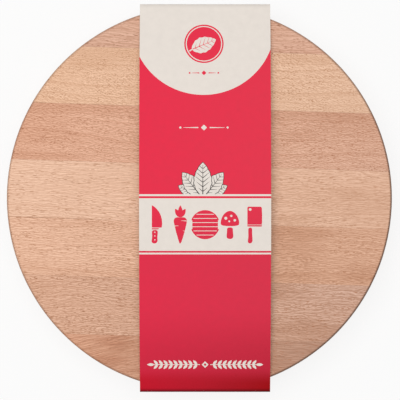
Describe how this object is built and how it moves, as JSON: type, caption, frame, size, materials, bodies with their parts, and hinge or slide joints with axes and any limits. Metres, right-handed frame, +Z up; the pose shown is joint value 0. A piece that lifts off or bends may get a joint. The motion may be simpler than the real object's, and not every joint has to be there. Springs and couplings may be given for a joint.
{
  "type": "round chopping block",
  "caption": "Round beech chopping block glued up from edge-grain staves, with a routed hand hold in the rim at each end of the grain, in a folded card sleeve that slides off sideways.",
  "frame": {"origin": "on the ground under the middle of the round block", "axes": "+X along the grain, through both hand holds; +Y across the staves, towards stave_1 and along the sleeve, 1.9 degrees off; +Z up, out of the chopping face"},
  "size_m": [0.34, 0.3452, 0.0532],
  "materials": {
    "beech_pink": "planed and sanded beech, pinkish, unoiled",
    "beech_pale": "planed and sanded beech, pale straw, unoiled",
    "beech_rosy": "planed and sanded beech, rosy, unoiled",
    "beech_tan": "planed and sanded beech, tan, unoiled",
    "beech_brown": "planed and sanded beech, light brown, unoiled",
    "wood_glue": "cured wood glue, amber brown",
    "sleeve_card": "printed coated card, crimson with warm grey panels, satin",
    "sleeve_glue": "dried paper glue"
  },
  "bodies": {
    "block": {"stave_1": "beech_pink", "stave_2": "beech_pale", "stave_3": "beech_rosy", "stave_4": "beech_pale", "stave_5": "beech_tan", "stave_6": "beech_pink", "stave_7": "beech_brown", "glue_line_1": "wood_glue", "glue_line_2": "wood_glue", "glue_line_3": "wood_glue", "glue_line_4": "wood_glue", "glue_line_5": "wood_glue", "glue_line_6": "wood_glue"},
    "sleeve": {"card_sleeve": "sleeve_card", "flap_glue": "sleeve_glue"}
  },
  "joints": [
    {"name": "sleeve_slide", "type": "slide", "parent": "block", "child": "sleeve", "axis": [0.9995, 0.0332, 0], "range_m": [-0.24, 0.24]}
  ]
}
